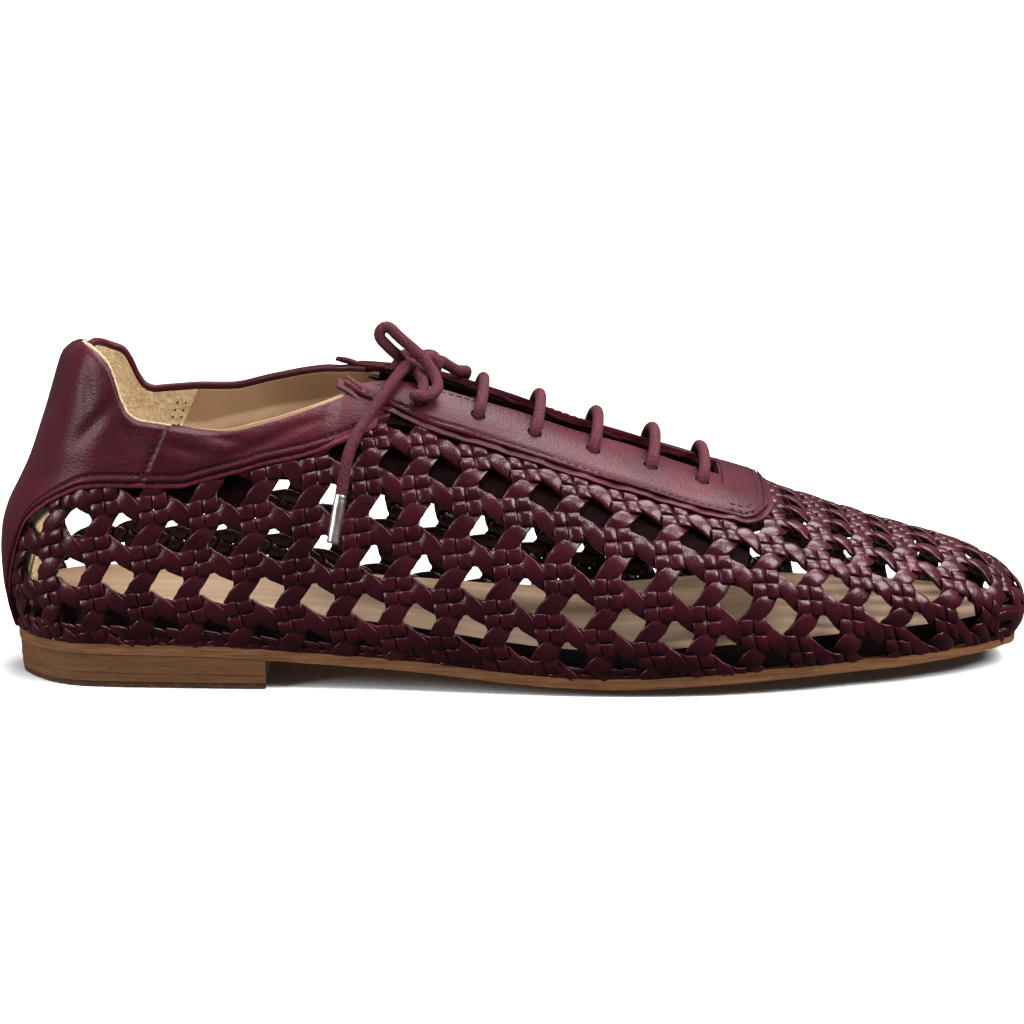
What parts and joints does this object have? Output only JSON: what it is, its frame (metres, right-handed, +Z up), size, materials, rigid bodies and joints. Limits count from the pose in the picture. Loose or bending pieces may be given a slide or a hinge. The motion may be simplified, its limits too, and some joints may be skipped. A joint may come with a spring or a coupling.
{
  "type": "woven leather flat",
  "caption": "Right shoe of a low lace-up flat: openwork woven leather upper with smooth heel counter, collar and eyestay, tied round lace, leather sole and a low stacked heel.",
  "frame": {"origin": "on the floor, under the middle of the shoe's box", "axes": "+X from heel to toe, +Y to the inner side of the foot, +Z up"},
  "size_m": [0.2658, 0.0893, 0.0924],
  "materials": {
    "woven_leather": "soft sheen",
    "smooth_leather": "soft sheen",
    "insole_leather": "matte",
    "sole_leather": "burnished",
    "wear_rubber": "matte",
    "waxed_lace": "waxed",
    "aglet_metal": "satin"
  },
  "bodies": {
    "root": {"upper": "woven_leather", "heel_counter": "smooth_leather", "collar_lateral": "smooth_leather", "collar_medial": "smooth_leather", "eyestay": "smooth_leather", "insole": "insole_leather", "outsole": "sole_leather", "heel": "sole_leather", "heel_top_piece": "wear_rubber", "lace_bar_1": "waxed_lace", "lace_bar_2": "waxed_lace", "lace_bar_3": "waxed_lace", "lace_bar_4": "waxed_lace", "lace_bar_5": "waxed_lace", "lace_knot": "waxed_lace", "lace_loop_near": "waxed_lace", "lace_loop_far": "waxed_lace", "lace_end_near": "waxed_lace", "lace_end_far": "waxed_lace", "aglet_near": "aglet_metal", "aglet_far": "aglet_metal"}
  },
  "joints": []
}
